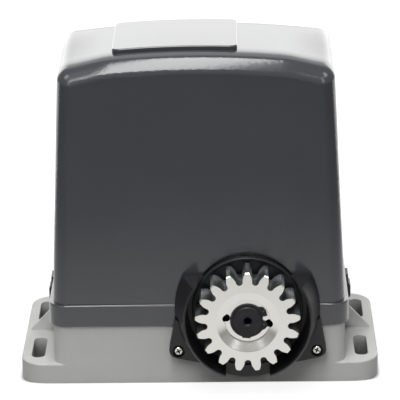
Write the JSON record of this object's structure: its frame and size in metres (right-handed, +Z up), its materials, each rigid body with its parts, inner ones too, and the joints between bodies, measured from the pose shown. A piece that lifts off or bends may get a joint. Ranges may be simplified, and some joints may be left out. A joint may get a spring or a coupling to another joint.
{
  "type": "sliding gate motor",
  "caption": "Sliding gate operator: slotted cast base, tall plastic hood, rack pinion in a moulded guard, worm gearbox and induction motor inside.",
  "frame": {"origin": "middle of the base flange's underside", "axes": "+Z up, +Y away from the gate, +X to the right when facing the gate side of the motor from outside; the pinion shaft points to -Y"},
  "size_m": [0.264, 0.177, 0.249],
  "materials": {
    "light_grey_casting": "light grey powder coat on cast aluminium",
    "hood_plastic": "glossy dark grey ABS",
    "panel_plastic": "glossy near-black ABS",
    "guard_plastic": "satin black moulded plastic",
    "zinc_plated_steel": "zinc plated, turned and hobbed",
    "black_oxide_steel": "black oxide",
    "bright_steel": "ground",
    "plated_screw": "nickel plated",
    "raw_casting": "as cast",
    "bronze": "machined bronze",
    "copper_wire": "enamelled copper wire",
    "lamination": "varnished electrical steel",
    "seal_rubber": "nitrile rubber",
    "board_green": "glass epoxy with solder mask",
    "terminal_green": "moulded polyamide",
    "black_component": "moulded",
    "capacitor_can": "white moulded case",
    "bobbin_tape": "yellow insulating tape",
    "galvanised_sheet": "galvanised"
  },
  "bodies": {
    "housing": {"base_casting": "light_grey_casting", "cover": "hood_plastic", "top_panel": "panel_plastic", "side_clip_left": "guard_plastic", "side_clip_right": "guard_plastic", "cover_seal": "seal_rubber", "pinion_guard": "guard_plastic", "guard_screws": "plated_screw", "gear_case": "raw_casting", "gear_case_cover": "raw_casting", "gear_case_screws": "plated_screw", "case_cover_screws": "plated_screw", "output_bearing_front": "bright_steel", "output_bearing_rear": "bright_steel", "worm_bearing_lower": "bright_steel", "worm_bearing_upper": "bright_steel", "motor_bearing_top": "bright_steel", "shaft_seal": "seal_rubber", "stator_core": "lamination", "stator_windings": "copper_wire", "motor_end_shield": "raw_casting", "motor_bolts": "plated_screw", "release_bush": "bronze", "transformer_core": "lamination", "transformer_coil": "bobbin_tape", "run_capacitor": "capacitor_can", "capacitor_clamp": "galvanised_sheet", "board_bracket": "galvanised_sheet", "board_standoffs": "plated_screw", "control_board": "board_green", "board_screws": "plated_screw", "terminal_strip": "terminal_green", "board_relays": "black_component", "board_chips": "black_component", "bracket_screws": "plated_screw", "earth_screw": "plated_screw", "sensor_bracket": "galvanised_sheet", "limit_sensor": "black_component", "cable_grommet": "seal_rubber"},
    "output": {"pinion": "zinc_plated_steel", "output_shaft": "black_oxide_steel", "shaft_key": "black_oxide_steel", "wheel_key": "bright_steel", "circlip": "black_oxide_steel", "worm_wheel": "bronze"},
    "rotor": {"rotor_shaft": "bright_steel", "rotor_core": "lamination"},
    "release": {"release_lever": "guard_plastic"},
    "rod": {"clutch_rod": "bright_steel"}
  },
  "joints": [
    {"name": "rotor_spin", "type": "hinge", "parent": "housing", "child": "rotor", "pos_m": [-0.0115, -0.02, 0.15], "axis": [0, 0, 1], "continuous": true},
    {"name": "pinion_spin", "type": "hinge", "parent": "housing", "child": "output", "pos_m": [0.0355, -0.0887, 0.059], "axis": [0, 1, 0], "continuous": true},
    {"name": "release_turn", "type": "hinge", "parent": "housing", "child": "release", "pos_m": [0.0355, 0.06, 0.059], "axis": [0, -1, 0], "range_deg": [0, 90]},
    {"name": "rod_slide", "type": "slide", "parent": "housing", "child": "rod", "axis": [0, -1, 0], "range_m": [0, 0.005]}
  ],
  "couplings": [
    {"joint": "pinion_spin", "follows": "rotor_spin", "ratio": -0.033333},
    {"joint": "rod_slide", "follows": "release_turn", "m_per_rad": 0.00318}
  ]
}
